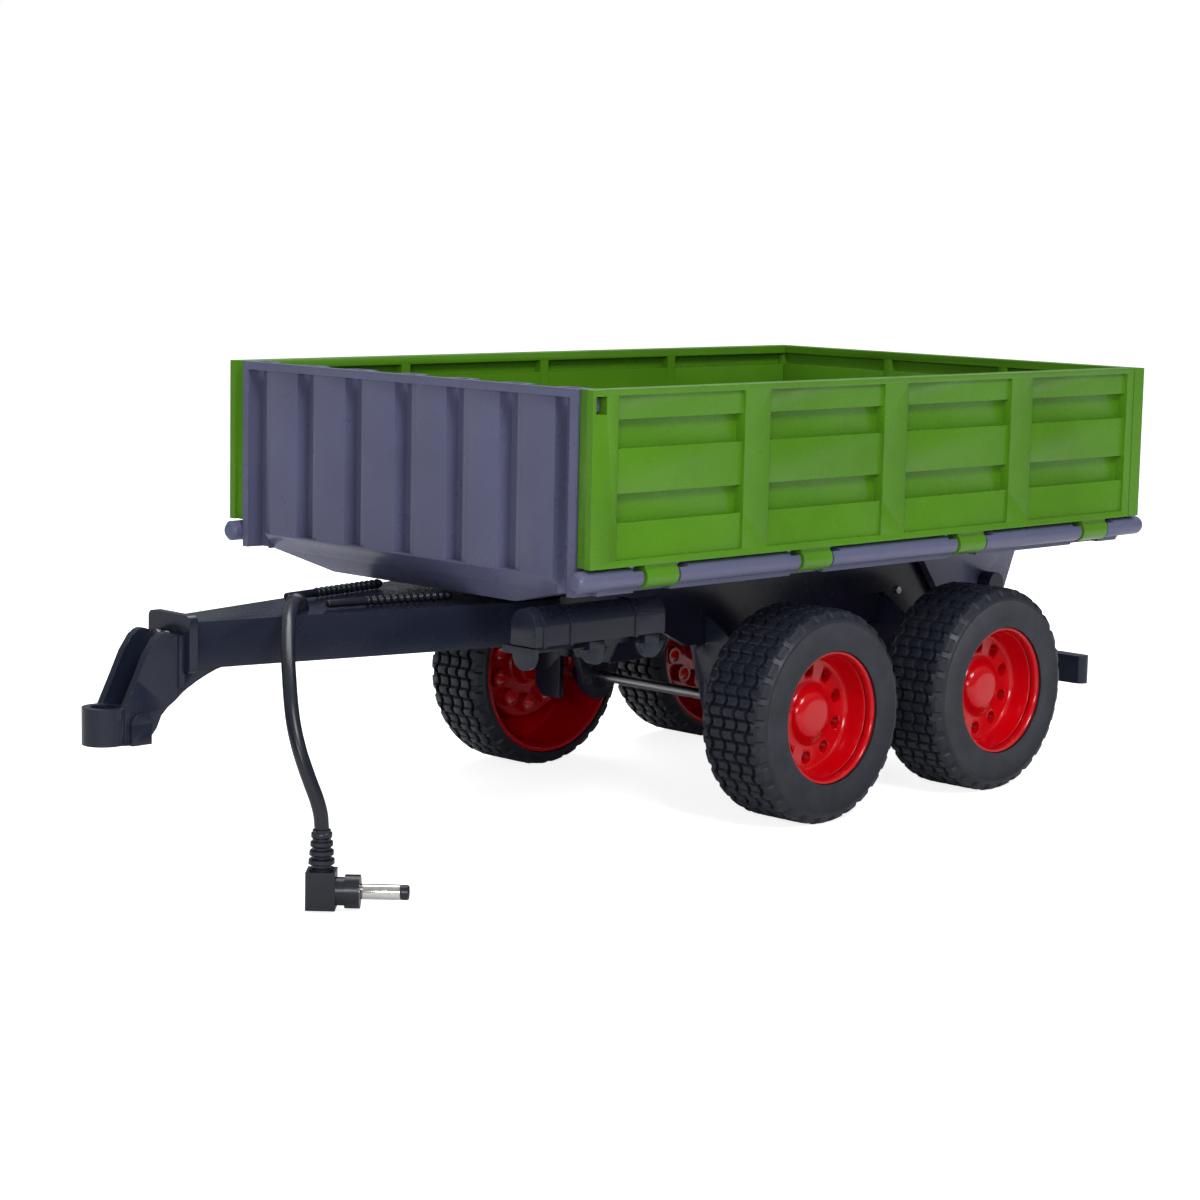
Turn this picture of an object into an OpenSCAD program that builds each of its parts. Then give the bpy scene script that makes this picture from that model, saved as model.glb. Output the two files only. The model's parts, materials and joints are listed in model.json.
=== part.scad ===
// Tandem-axle tipping trailer for a toy tractor.
// +X points forwards to the hitch eye, +Y to the left, +Z up; the tyres stand on Z = 0.

/* [Load box] */
// Outer width over the two side panels
box_w = 136; // [134:0.5:138]
// Height of the panels' top edge above the ground
box_top = 115; // [113:0.5:118]
// Thickness of the side panels and the tailgate
panel_t = 5.2; // [5:0.1:5.4]
// Number of bays in a side panel
side_bays = 4; // [3:1:5]
// Number of raised flats on the headboard
flat_count = 6; // [4:1:6]

/* [Wheels] */
// Tyre diameter
tyre_d = 56; // [52:0.5:57]
// Tyre width
tyre_w = 21.6; // [18:0.2:22]
// Distance over the outer faces of the tyres
track_over = 126; // [124:0.5:128]
// Number of hand holes in a rim
hand_holes = 10; // [6:1:12]
// Axle rod diameter
axle_d = 2.8; // [2.4:0.1:3]

/* [Drawbar] */
// Height of the drawbar's top above the ground
bar_top = 59.9; // [59:0.1:61]
// Bore of the hitch eye
eye_bore = 6; // [5:0.25:6.5]

/* [Power lead] */
// Diameter of the cord
cord_d = 3.3; // [3:0.1:3.6]
// Plug barrel diameter
barrel_d = 3.5; // [3.5:0.1:4]
// Plug barrel length
barrel_l = 11; // [9:0.5:12]

/* [Tipping drive] */
// Teeth on the drive pinion
pinion_teeth = 10; // [10:1:11]
// Teeth on the motor pinion
motor_teeth = 12; // [12:1:13]

/* [Hidden] */
$fn = 48;
gap = 0.3;
fit = 0.05;
black = [0.13, 0.14, 0.16];
green = [0.31, 0.53, 0.15];
grey = [0.40, 0.40, 0.51];
red = [0.78, 0.02, 0.06];
steel = [0.75, 0.75, 0.76];
rubber = [0.10, 0.10, 0.11];

// Load box
box_front = 64;
panel_rear = -147.5;
panel_low = 73.4;
panel_l = box_front - panel_rear;
inner_y = box_w / 2 - panel_t;
gate_t = 4.5;
gate_front = panel_rear - gap;
floor_low = 66.5;
floor_top = 69;
rail_r = 2.6;
rail_y = box_w / 2 - rail_r;
rail_z = 70.4;
rail_front = 66.5;
rail_rear = -156.6;
hinge_x = [-132.4, -77.9, -15.8, 39.7];
hinge_w = 10.7;
gate_hinge_y = [-42, 0, 42];
gate_axis_x = -153.6;
bar_r = 1.5;
clip_r = 2.85;

// Headboard
head_t = 6;
rim_step = 1;
flat_pitch = 19.1;
flat_w = 13.3;
sheet_t = 1.4;
stile_w = 2.2;
head_half = inner_y - gap;

// Wheels
tyre_r = tyre_d / 2;
wheel_y = track_over / 2 - tyre_w / 2;
front_x = -29.3;
rear_x = -99.7;
lip_r = 17.3;
seat_r = 15.9;
drum_r = 24.2;
hole_ring_r = 11.6;
hole_d = 3.4;

// Chassis
wall_y = 27;
wall_t = 2.2;
chassis_front = 34;
chassis_rear = -141;
chassis_low = 44;
chassis_top = 60.5;
boss_y = 21.5;
bumper_boss = -127;
tub_bosses = [-115, -72];
low_bosses = concat([bumper_boss], tub_bosses);

// Drawbar
bar_low = 48.9;
bar_nose = 131;
bar_nose_half = 5.4;
screw_y = 1.72;
cover_screws = [116.5, 60];
eye_x = 151.6;
eye_r = 5;
eye_low = 33;
eye_top = 41.6;

// Tipping pivot and gears
pivot_x = -132;
pivot_z = 52;
pivot_r = 1.5;
drive_m = 1;
sector_teeth = 60;
wheel_m = 0.5;
wheel_teeth = 38;
drive_dist = drive_m * (sector_teeth + pinion_teeth) / 2;
lay_x = pivot_x + drive_dist;
motor_dist = wheel_m * (wheel_teeth + motor_teeth) / 2;
motor_x = lay_x + motor_dist;
tub_low = 41.8;
tub_top = 43.7;
pressure_angle = 25;
backlash = 0.16;

// Power lead: the route leaves the grommet sideways, leans outwards and ends in the plug on the ground
grommet_x = 98.3;
grommet_y = 3.2;
cord_route = [[98.8, 3.7, 61.7], [101.3, 6.3, 62], [103.8, 8.9, 62.2], [106.3, 11.6, 62.3],
    [108.8, 14.3, 62.2], [111.2, 17.1, 61.9], [113.6, 19.8, 61.4], [116, 22.5, 60.6], [118.2, 25.2, 59.5],
    [120.4, 27.8, 58.3], [122.5, 30.4, 56.7], [124.5, 33, 54.9], [126.3, 35.4, 52.9],
    [127.9, 37.7, 50.6], [129.4, 39.9, 48.1], [130.7, 42, 45.3], [131.6, 43.8, 42.3],
    [132.1, 45.5, 39.1], [132.1, 47, 35.7], [131.6, 48.2, 32.3], [130.7, 49.1, 28.8],
    [129.6, 49.8, 25.3], [128.7, 50.1, 21.8], [128.3, 50.1, 18.2]];
plug_x = 128.3;
plug_y = 50.1;
plug_turn = 135;
plug_low = 0.5;
relief_low = 9.2;
relief_top = 18.2;
body_w = 6.6;
lead_route = [[98.3, 3.2, 56.4], [92, 1.6, 55.4], [80, -1, 54.6], [66, -3, 54.4], [54, -4, 54.4],
    [42, -4, 54.4], [30, -4, 54.4], [18, -4, 54.4], [6, -4, 54.2], [-6, -4, 54],
    [-18, -4, 54], [-30, -5, 54], [-42, -7, 54], [-52, -9, 53.6], [-62, -12, 52.8],
    [-68, -16.4, 52], [-75, -19.2, 52], [-80.6, -20.4, 52], [-84.5, -19.4, 52], [-84.5, -17.2, 52]];

function unit(v) = v / norm(v);
function tangent(p, i) =
    unit(p[min(i + 1, len(p) - 1)] - p[max(i - 1, 0)]);
// One ring of a swept tube: ref is a direction that the route never follows
function ring(p, i, r, n, ref) =
    let (t = tangent(p, i), u = unit(cross(t, ref)), w = cross(t, u))
    [for (k = [0:n - 1]) p[i] + r * (cos(360 * k / n) * u + sin(360 * k / n) * w)];

module swept_tube(p, d, n, ref) {
    rings = [for (i = [0:len(p) - 1]) each ring(p, i, d / 2, n, ref)];
    last = (len(p) - 1) * n;
    sides = [for (i = [0:len(p) - 2], k = [0:n - 1])
        [i * n + k, (i + 1) * n + k, (i + 1) * n + (k + 1) % n, i * n + (k + 1) % n]];
    polyhedron(points = rings, convexity = 6,
        faces = concat(sides, [[for (k = [0:n - 1]) k]], [[for (k = [n - 1:-1:0]) last + k]]));
}

// Box between two corners
module block(a, b) {
    translate(a) cube(b - a);
}

// Cylinder along Y between y0 and y1
module rod_y(r, y0, y1) {
    rotate([-90, 0, 0]) translate([0, 0, y0]) cylinder(r = r, h = y1 - y0);
}

// Cylinder along X between x0 and x1
module rod_x(r, x0, x1) {
    rotate([0, 90, 0]) translate([0, 0, x0]) cylinder(r = r, h = x1 - x0);
}

// Plate in the XZ plane between y0 and y1
module plate_y(y0, y1) {
    translate([0, y1, 0]) rotate([90, 0, 0]) linear_extrude(y1 - y0) children();
}

// Pan-head screw pointing up, head down; z is the seat of its head
module screw_up(x, y, z, length = 6) {
    translate([x, y, z]) {
        cylinder(r = 0.9, h = length);
        difference() {
            translate([0, 0, -1.2]) cylinder(r = 1.9, h = 1.2);
            translate([-1.3, -0.25, -1.3]) cube([2.6, 0.5, 0.7]);
            translate([-0.25, -1.3, -1.3]) cube([0.5, 2.6, 0.7]);
        }
    }
}

// ---- gears ----
function inv_deg(a) = (tan(a) - a * PI / 180) * 180 / PI;
function flank_angle(r, rb) = r <= rb ? 0 : inv_deg(acos(rb / r));
// Outline of one tooth centred on angle a
function tooth(m, n, a) =
    let (rp = m * n / 2, rb = rp * cos(pressure_angle), rr = rp - 1.15 * m, ra = rp + 0.8 * m,
        half = 90 / n - backlash * m / (2 * rp) * 180 / PI + inv_deg(pressure_angle),
        base = max(rb, rr), radii = [for (k = [0:3]) base + (ra - base) * k / 3],
        low = [for (r = radii) [r, a - half + flank_angle(r, rb)]],
        high = [for (k = [3:-1:0]) [radii[k], a + half - flank_angle(radii[k], rb)]],
        root_low = rr < rb ? [[rr, a - half]] : [],
        root_high = rr < rb ? [[rr, a + half]] : [],
        all = concat(root_low, low, high, root_high))
    [for (q = all) q[0] * [cos(q[1]), sin(q[1])]];

module gear_2d(m, n, turn = 0) {
    polygon([for (i = [0:n - 1]) each tooth(m, n, turn + 360 * i / n)]);
}

// ---- chassis ----
module side_wall() {
    plate_y(wall_y - wall_t, wall_y)
        polygon([[chassis_front, bar_low], [chassis_front, chassis_top], [chassis_rear + 4, chassis_top],
            [chassis_rear, chassis_top - 5], [chassis_rear, chassis_low], [-12, chassis_low],
            [-2, bar_low]]);
}

module chassis_frame() {
    color(black) difference() {
        union() {
            for (s = [0, 1]) mirror([0, s, 0]) side_wall();
            block([-70, -wall_y + 0.5, chassis_top - 2], [chassis_front, wall_y - 0.5, chassis_top]);
            block([chassis_front - 2, -wall_y + 0.5, bar_low], [chassis_front, wall_y - 0.5, chassis_top]);
            block([chassis_rear, -wall_y + 0.5, chassis_low], [chassis_rear + 2, wall_y - 0.5, 47]);
            for (x = [-14, -46]) block([x, -wall_y + 0.5, 51], [x + 2, wall_y - 0.5, chassis_top - 1]);
            for (x = [20, -60], y = [-20, 20]) translate([x, y, 52])
                cylinder(r = 2.6, h = chassis_top - 53);
            for (x = low_bosses, y = [-boss_y, boss_y]) translate([x, y, chassis_low])
                cylinder(r = 2.4, h = 8);
            for (x = low_bosses, s = [-1, 1]) block([x - 1, min(s * 23, s * 26), chassis_low],
                [x + 1, max(s * 23, s * 26), chassis_low + 8]);
        }
        block([chassis_front - 3, -10, 51], [chassis_front + 1, 4, 58]);
        for (x = [-14, -46]) block([x - 1, -12, 50], [x + 3, 2, 57]);
        translate([pivot_x, 0, pivot_z]) rod_y(pivot_r + fit, -40, 40);
        translate([lay_x, 0, pivot_z]) rod_y(1 + fit, -40, 40);
        for (x = [20, -60], y = [-20, 20]) translate([x, y, 51]) cylinder(r = 0.95, h = 7);
        for (x = low_bosses, y = [-boss_y, boss_y]) translate([x, y, chassis_low - 1])
            cylinder(r = 0.95, h = 8);
    }
}

function bar_half(x) = bar_nose_half + (bar_nose - x) * (wall_y - bar_nose_half)
    / (bar_nose - chassis_front);

module bar_plan(inset, x0, x1) {
    polygon([[x0, -bar_half(x0) + inset], [x1, -bar_half(x1) + inset],
        [x1, bar_half(x1) - inset], [x0, bar_half(x0) - inset]]);
}

module drawbar() {
    color(black) difference() {
        union() {
            translate([0, 0, bar_low]) linear_extrude(bar_top - bar_low)
                bar_plan(0, chassis_front + 0.02, bar_nose);
            translate([bar_nose - 0.01, 0, 0]) rotate([90, 0, 90]) linear_extrude(2.4)
                translate([-8, bar_low - 0.8]) offset_rect(16, 13.6, 1.6);
        }
        translate([0, 0, bar_low - 1]) linear_extrude(bar_top - bar_low - 0.8)
            bar_plan(1.8, chassis_front - 1, bar_nose - 3);
        translate([grommet_x, grommet_y, bar_top - 3]) cylinder(r = 2.3 + fit, h = 4);
        for (y = [-screw_y, screw_y]) translate([0, y, 56.2]) rod_x(0.85, bar_nose - 4, bar_nose + 3);
    }
    color(black) for (x = cover_screws) translate([x, 0, bar_low + 1.2]) difference() {
        cylinder(r = 2.4, h = bar_top - bar_low - 2.4);
        translate([0, 0, -1]) cylinder(r = 0.95, h = 8);
    }
}

// Rectangle with round corners, from exact circles and squares
module offset_rect(w, h, r) {
    translate([r, 0]) square([w - 2 * r, h]);
    translate([0, r]) square([w, h - 2 * r]);
    for (x = [r, w - r], y = [r, h - r]) translate([x, y]) circle(r = r);
}

module drawbar_cover() {
    color(black) difference() {
        translate([0, 0, bar_low]) linear_extrude(1.2) bar_plan(1.8 + fit, chassis_front + 1, bar_nose - 3.1);
        for (x = cover_screws) translate([x, 0, bar_low - 1]) cylinder(r = 1.1, h = 4);
    }
}

// Under edge of the neck, from the eye back to the beam
neck_edge = [[143.4, eye_low], [142.5, 34.3], [140.8, 36.2], [139.4, 39.1], [137.6, 40.8], [135.4, 42.2],
    [133.4, 43.8]];

module cheek_2d() {
    polygon(concat([[133.4, 57], [138.4, 58.2], [141, 57], [143.6, 53.4], [146.3, 47.9], [149.6, 41.4],
        [149.6, eye_low]], neck_edge));
    translate([138.2, 55.1]) circle(r = 3.1);
}

module hitch_neck() {
    color(black) difference() {
        union() {
            for (s = [0, 1]) mirror([0, s, 0]) {
                plate_y(3.5, 5.5) cheek_2d();
                plate_y(5.4, 7) {
                    translate([143.2, eye_low + 0.01]) square([5.4, 4.8]);
                    translate([145.9, eye_low + 4.7]) circle(r = 2.7);
                }
            }
            plate_y(-3.6, 3.6) polygon(concat([[133.4, 47.6], [137, 45.4], [140.4, 42.6],
                [143.6, eye_top - 3], [148, eye_top - 3], [148, eye_low]], neck_edge));
            block([133.4, -6.2, 45], [135, 6.2, 57.2]);
            translate([eye_x, 0, eye_low]) cylinder(r = eye_r, h = eye_top - eye_low);
            block([147, -5, eye_low], [eye_x - 1, 5, eye_top]);
        }
        translate([eye_x, 0, eye_low - 1]) cylinder(r = eye_bore / 2, h = eye_top - eye_low + 2);
        for (y = [-screw_y, screw_y]) translate([0, y, 56.2]) rod_x(0.85, 132, 136);
    }
    // Curved brace under the beam
    color(black) plate_y(-5.5, 5.5) polygon([[119.5, bar_low - 0.02], [131, bar_low - 0.02], [131, 48],
        [133.41, 48], [133.41, 43.8], [131.7, 44.8], [129.4, 46], [126.9, 47.1], [124, 48.2], [121.8, 48.7]]);
}

module frame_screws() {
    color(steel) {
        for (x = cover_screws) screw_up(x, 0, bar_low, 7);
        for (x = [20, -60], y = [-20, 20]) screw_up(x, y, 52, 6);
        for (y = [-screw_y, screw_y]) translate([0, y, 56.2]) {
            rod_x(0.8, bar_nose - 3.5, 135);
            rod_x(1.7, 135, 136);
        }
    }
}

// A brake hose with plain ends
module hose(a, b) {
    run = b - a;
    translate(a) rotate([0, 90, atan2(run[1], run[0])]) {
        cylinder(r = 1, h = norm(run));
        translate([0, 0, norm(run) * 0.31]) cylinder(r = 1.25, h = norm(run) * 0.66);
    }
}

module hose_left() { color(black) hose([92.2, 7, bar_top + 1.3], [57.2, 12.4, bar_top + 1.3]); }
module hose_right() { color(black) hose([92.2, -8.6, bar_top + 1.3], [57.2, -14.6, bar_top + 1.3]); }

// ---- power lead ----
module cord_grommet() {
    color(rubber) translate([grommet_x, grommet_y, 0]) difference() {
        union() {
            translate([0, 0, bar_top - 3]) cylinder(r = 2.3, h = 3.1);
            translate([0, 0, bar_top]) cylinder(r = 2.9, h = 1.2);
            intersection() {
                translate([0, 0, bar_top + 1.2]) sphere(r = 2.8);
                translate([0, 0, bar_top + 0.1]) cylinder(r = 4, h = 6);
            }
        }
        translate([0, 0, bar_top - 4]) cylinder(r = 0.8, h = 3);
    }
}

module power_cord() {
    color(rubber) swept_tube(cord_route, cord_d, 8, [0.83, -0.55, 0.1]);
}

module strain_relief() {
    color(rubber) translate([plug_x, plug_y, 0]) {
        translate([0, 0, relief_low]) cylinder(r = 1.9, h = relief_top - relief_low);
        for (k = [0:3]) translate([0, 0, relief_low + 1.4 + 2 * k])
            cylinder(r1 = 3.1 - 0.2 * k, r2 = 2.9 - 0.2 * k, h = 1.2);
    }
}

module plug_body() {
    color(rubber) translate([plug_x, plug_y, 0]) rotate([0, 0, plug_turn]) difference() {
        union() {
            block([-body_w / 2, -body_w / 2, plug_low], [body_w / 2, body_w / 2, relief_low]);
            translate([0, 0, plug_low + 3.9]) rod_x(3.2, body_w / 2, body_w / 2 + 2);
            translate([0, 0, plug_low + 3.9]) rod_x(3.8, body_w / 2 + 2, body_w / 2 + 5.4);
        }
        translate([0, 0, plug_low + 3.9]) rod_x(barrel_d / 2 - 0.6, body_w / 2, body_w / 2 + 6);
    }
}

module plug_barrel() {
    color(steel) translate([plug_x, plug_y, plug_low + 3.9]) rotate([0, 0, plug_turn]) difference() {
        union() {
            rod_x(barrel_d / 2, body_w / 2 + 5.4, body_w / 2 + 5.4 + barrel_l - 2);
            rod_x(barrel_d / 2 - 0.65, body_w / 2 + 2, body_w / 2 + 5.5);
        }
        rod_x(0.65, body_w / 2 + 4, body_w / 2 + 17);
    }
}

module plug_insulator() {
    color(rubber) translate([plug_x, plug_y, plug_low + 3.9]) rotate([0, 0, plug_turn]) difference() {
        rod_x(barrel_d / 2, body_w / 2 + 3.4 + barrel_l, body_w / 2 + 5.4 + barrel_l);
        rod_x(0.65, body_w / 2 + 4, body_w / 2 + 17);
    }
}

module inner_lead() {
    color("darkred") swept_tube(lead_route, 1.4, 8, [0.05, 0.1, 1]);
}

// ---- tank ----
module tank_2d(grow) {
    translate([45.7, 57.7]) circle(r = 4.3 + grow);
    translate([41.4 - grow, 53.1 - grow]) square([8.6 + 2 * grow, 4.6 + grow]);
}

module air_tank() {
    color(black) {
        translate([20, 0, 0]) rotate([90, 0, 90]) linear_extrude(43.9) tank_2d(0);
        for (x = [60.4, 51.6, 29.6]) translate([x, 0, 0]) rotate([90, 0, 90]) linear_extrude(0.9) tank_2d(0.3);
    }
}

module half_disc(r) {
    intersection() {
        circle(r = r);
        translate([-r, -r]) square([2 * r, r]);
    }
}

module tank_bracket() {
    low = 50.8;
    top = 52.7;
    color(black) {
        block([20, wall_y, low], [32, 45, top]);
        block([30, wall_y, low], [chassis_front - 0.3, 38.5, top]);
        block([30, 38, low], [63.6, 45, top]);
        block([62.2, 41.8, low], [63.6, 49.4, top]);
        for (x = [23, 42]) {
            block([x - 2.5, 44.9, low], [x + 2.5, 48.6, top]);
            translate([x, 0, 0]) plate_y(46.8, 48.6) translate([0, low + 0.1]) half_disc(4);
        }
        translate([62.2, 45.6, low + 0.1]) rotate([90, 0, 90]) linear_extrude(1.4) half_disc(3.8);
    }
}

// ---- circuit housing under the front of the chassis ----
module circuit_cover() {
    color(black) difference() {
        rotate([90, 0, 90]) translate([0, 0, -24]) linear_extrude(20)
            polygon([[-10, 50], [-10, 44], [-6.5, 37.4], [6.5, 37.4], [10, 44], [10, 50]]);
        rotate([90, 0, 90]) translate([0, 0, -22.6]) linear_extrude(17.2)
            polygon([[-8.6, 51], [-8.6, 44.4], [-5.7, 38.8], [5.7, 38.8], [8.6, 44.4], [8.6, 51]]);
    }
    color(black) for (y = [-1, 1]) block([-20, y > 0 ? 9.6 : wall_t - wall_y, 48.6],
        [-12.2, y > 0 ? wall_y - wall_t : -9.6, 50]);
}

module circuit_board() {
    color("darkgreen") block([-21, -7.8, 45], [-7, 7.8, 46.2]);
    color("dimgray") block([-17, -4, 46.2], [-11, 2, 48]);
    color("dimgray") block([-20, 3, 46.2], [-18, 6, 48.4]);
}

// ---- running gear ----
module hanger_2d() {
    translate([0, tyre_r]) circle(r = 6.4);
    polygon([[-6.4, tyre_r], [6.4, tyre_r], [11.5, chassis_low], [11.5, chassis_low + 4],
        [-11.5, chassis_low + 4], [-11.5, chassis_low]]);
}

module hangers(x) {
    color(black) for (s = [0, 1]) mirror([0, s, 0]) translate([x, 0, 0]) difference() {
        union() {
            plate_y(wall_y - wall_t - 2.6, wall_y - wall_t) hanger_2d();
            plate_y(22, wall_y + 2) translate([0, tyre_r]) circle(r = 3.8);
            // Outboard gusset in front of the axle
            translate([9.2, 0, 0]) rotate([90, 0, 90]) linear_extrude(1.6) union() {
                polygon([[wall_y + 0.3, 22], [34, 22], [37, 25], [37, 46], [wall_y + 0.3, 52]]);
            }
            block([9.2, 24, 34], [10.8, wall_y + 0.4, 43.7]);
        }
        translate([0, 0, tyre_r]) rod_y(2.4 + fit, 10, 40);
    }
}

module front_hangers() { hangers(front_x); }
module rear_hangers() { hangers(rear_x); }

module bushes(x) {
    color(steel) for (s = [0, 1]) mirror([0, s, 0]) translate([x, 0, tyre_r]) difference() {
        union() {
            rod_y(2.4, 22, wall_y + 2);
            rod_y(3.2, wall_y + 2, wall_y + 3);
        }
        rod_y(axle_d / 2 + fit, 10, 40);
    }
}

module front_bushes() { bushes(front_x); }
module rear_bushes() { bushes(rear_x); }

module axle(x) {
    color(steel) translate([x, 0, tyre_r]) rod_y(axle_d / 2, -wheel_y - 3.4, wheel_y + 3.4);
}

module front_axle() { axle(front_x); }
module rear_axle() { axle(rear_x); }

// Section of a rim: radius outwards, then depth from the outer lip; v = 0 is the outer lip plane
module rim_section() {
    v1 = -tyre_w + 1.2;
    difference() {
        polygon([[0, -5.1], [4.2, -5.1], [5.8, -5.5], [6.6, -6.4], [7.2, -7.5], [8.6, -8.2], [14, -8.2],
            [14.9, -7.4], [16.2, -0.6], [16.5, 0], [lip_r, 0], [lip_r, -1], [seat_r, -1.6],
            [seat_r, -2.9], [drum_r, -2.9], [drum_r, v1], [drum_r - 1.3, v1], [drum_r - 1.3, -4.4],
            [16.6, -4.4], [15.6, -9.8], [4.4, -9.8], [4.4, v1 + 1], [0, v1 + 1]]);
        translate([-1, -30]) square([axle_d / 2 + fit + 1, 30 - 6.6]);
    }
}

module rim(x, side) {
    color(red) translate([x, side * (wheel_y + tyre_w / 2 - 0.6), tyre_r]) rotate([side > 0 ? -90 : 90, 0, 0])
        difference() {
            union() {
                rotate_extrude() rim_section();
                for (k = [0:hand_holes - 1]) rotate([0, 0, 360 * (k + 0.5) / hand_holes])
                    translate([hole_ring_r, 0, -11.8]) cylinder(r = 2.6, h = 2.5);
            }
            for (k = [0:hand_holes - 1]) rotate([0, 0, 360 * (k + 0.5) / hand_holes])
                translate([hole_ring_r, 0, -13]) cylinder(r = hole_d / 2, h = 7);
        }
}

module rim_front_left() { rim(front_x, 1); }
module rim_front_right() { rim(front_x, -1); }
module rim_rear_left() { rim(rear_x, 1); }
module rim_rear_right() { rim(rear_x, -1); }

// Section of a tyre, open on its inner side; v = tyre_w / 2 is the outer sidewall
module tyre_section() {
    w = tyre_w / 2;
    difference() {
        polygon([[lip_r + fit, w], [20, w], [24.5, w - 0.2], [tyre_r - 1.6, w - 1], [tyre_r - 0.4, w - 2.2],
            [tyre_r, w - 3.6], [tyre_r, 3.6 - w], [tyre_r - 0.4, 2.2 - w], [tyre_r - 1.6, 1 - w],
            [max(tyre_r - 2.4, drum_r + 0.2), -w], [drum_r + fit, -w], [drum_r + fit, w - 3.45],
            [seat_r + fit, w - 3.45], [seat_r + fit, w - 2.6], [lip_r + fit, w - 2]]);
        for (v = [-6, -2, 2, 6]) translate([tyre_r - 1.1, v - 0.5]) square([2, 1]);
    }
}

module tyre(x, side) {
    color(rubber) translate([x, side * wheel_y, tyre_r]) rotate([side > 0 ? -90 : 90, 0, 0])
        rotate_extrude() tyre_section();
}

module tyre_front_left() { tyre(front_x, 1); }
module tyre_front_right() { tyre(front_x, -1); }
module tyre_rear_left() { tyre(rear_x, 1); }
module tyre_rear_right() { tyre(rear_x, -1); }

// ---- bumper ----
bumper_x = -152.8;
bumper_low = 23.6;
bumper_h = 8;

module rear_bumper() {
    color(black) difference() {
        translate([bumper_x, 0, bumper_low]) union() {
            translate([0, -51.6, 0]) cube([4.8, 103.2, bumper_h]);
            for (s = [-1, 1]) translate([2.4, s * 51.6, 0]) cylinder(r = 2.4, h = bumper_h);
        }
        for (y = [-18, 18]) translate([0, y, bumper_low + bumper_h / 2]) rod_x(0.95, -160, -140);
    }
}

module bumper_bracket() {
    color(black) difference() {
        union() {
            for (s = [0, 1]) mirror([0, s, 0]) plate_y(16.5, 19.5)
                polygon([[-141, chassis_low - 0.3], [-124, chassis_low - 0.3], [-136, 36], [-144, bumper_low],
                    [-147.8, bumper_low], [-147.8, bumper_low + bumper_h], [-144, 38]]);
            block([-141, -wall_y + 2.4, chassis_low - 2], [-124, wall_y - 2.4, chassis_low - 0.3]);
        }
        block([-142, -5, 40], [-110, 5, 46]);
        for (y = [-18, 18]) translate([0, y, bumper_low + bumper_h / 2]) rod_x(0.85, -149, -143);
        for (y = [-boss_y, boss_y]) translate([bumper_boss, y, 40]) cylinder(r = 1.1, h = 6);
    }
}

module bumper_screws() {
    color(steel) {
        for (y = [-18, 18]) translate([0, y, bumper_low + bumper_h / 2]) {
            rod_x(0.8, bumper_x - 0.01, -144);
            rod_x(1.8, bumper_x - 1.2, bumper_x);
        }
        for (y = [-boss_y, boss_y]) screw_up(bumper_boss, y, chassis_low - 2, 7);
    }
}

// ---- load box ----
module bed_floor() {
    color(grey) difference() {
        union() {
            block([panel_rear + 0.3, -62, floor_low], [box_front - head_t, 62, floor_top]);
            for (y = [-48, -24, 0, 24, 48]) block([panel_rear + 6, y - 1.2, floor_top - 0.1],
                [box_front - head_t - 6, y + 1.2, floor_top + 0.7]);
            for (s = [-1, 1]) block([-98, s * 20 - 1, 62.4], [50, s * 20 + 1, floor_low + 0.1]);
            for (x = [-96, -50, 0, 48]) block([x, -20, 62.4], [x + 2, 20, floor_low + 0.1]);
        }
        for (x = [-145, -104], y = [-34, 34]) translate([x, y, floor_low - 1]) cylinder(r = 0.95, h = 3);
    }
}

// Plan of the headboard's corrugated sheet
module sheet_plan() {
    back = box_front - head_t;
    front = box_front - rim_step;
    difference() {
        translate([back, -head_half]) square([front - back, 2 * head_half]);
        for (k = [0:flat_count]) translate([0, (k - flat_count / 2) * flat_pitch]) {
            w = flat_pitch - flat_w;
            polygon([[front + 1, -w / 2 - 0.3], [front + 1, w / 2 + 0.3], [back + sheet_t, w / 2 - 0.5],
                [back + sheet_t, 0.5 - w / 2]]);
        }
        for (k = [0:flat_count - 1]) translate([0, (k - (flat_count - 1) / 2) * flat_pitch]) {
            w = flat_w - 2 * sheet_t;
            polygon([[back - 1, -w / 2 - 0.6], [back - 1, w / 2 + 0.6], [front - sheet_t, w / 2 - 0.4],
                [front - sheet_t, 0.4 - w / 2]]);
            translate([front - 0.4, -flat_w / 2 - 0.6]) square([1, 2.6]);
        }
    }
}

module headboard() {
    front = box_front;
    back = front - head_t;
    foot_half = 54.4;
    foot_top = 70.8;
    color(grey) difference() {
        union() {
            translate([0, 0, floor_low]) linear_extrude(box_top - floor_low) sheet_plan();
            // Rim: top bar and two stiles
            block([front - 2.4, -head_half, box_top - 2], [front, head_half, box_top]);
            for (s = [0, 1]) mirror([0, s, 0]) {
                block([back, head_half - stile_w, floor_low], [front, head_half, box_top]);
                block([front - 4, head_half - 0.1, 109.9], [front - 1.2, inner_y + 3.2, 113.1]);
            }
            block([back, -foot_half, floor_low - 0.1], [front - rim_step, foot_half, foot_top]);
        }
        // Foot that slopes back below the corrugation
        plate_y(-foot_half - 0.1, foot_half + 0.1) polygon([[front - rim_step, foot_top - 0.4],
            [front - rim_step - 3.75, floor_low - 0.6], [front + 2, floor_low - 0.6],
            [front + 2, foot_top - 0.4]]);
    }
    // Skirt that goes on down under the floor
    color(grey) hull() {
        block([front - 14, -foot_half, floor_low - 0.1], [front - 4.4, foot_half, floor_low - 0.01]);
        block([front - 14, -34.5, 62], [front - 8, 34.5, 62.1]);
    }
}

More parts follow.
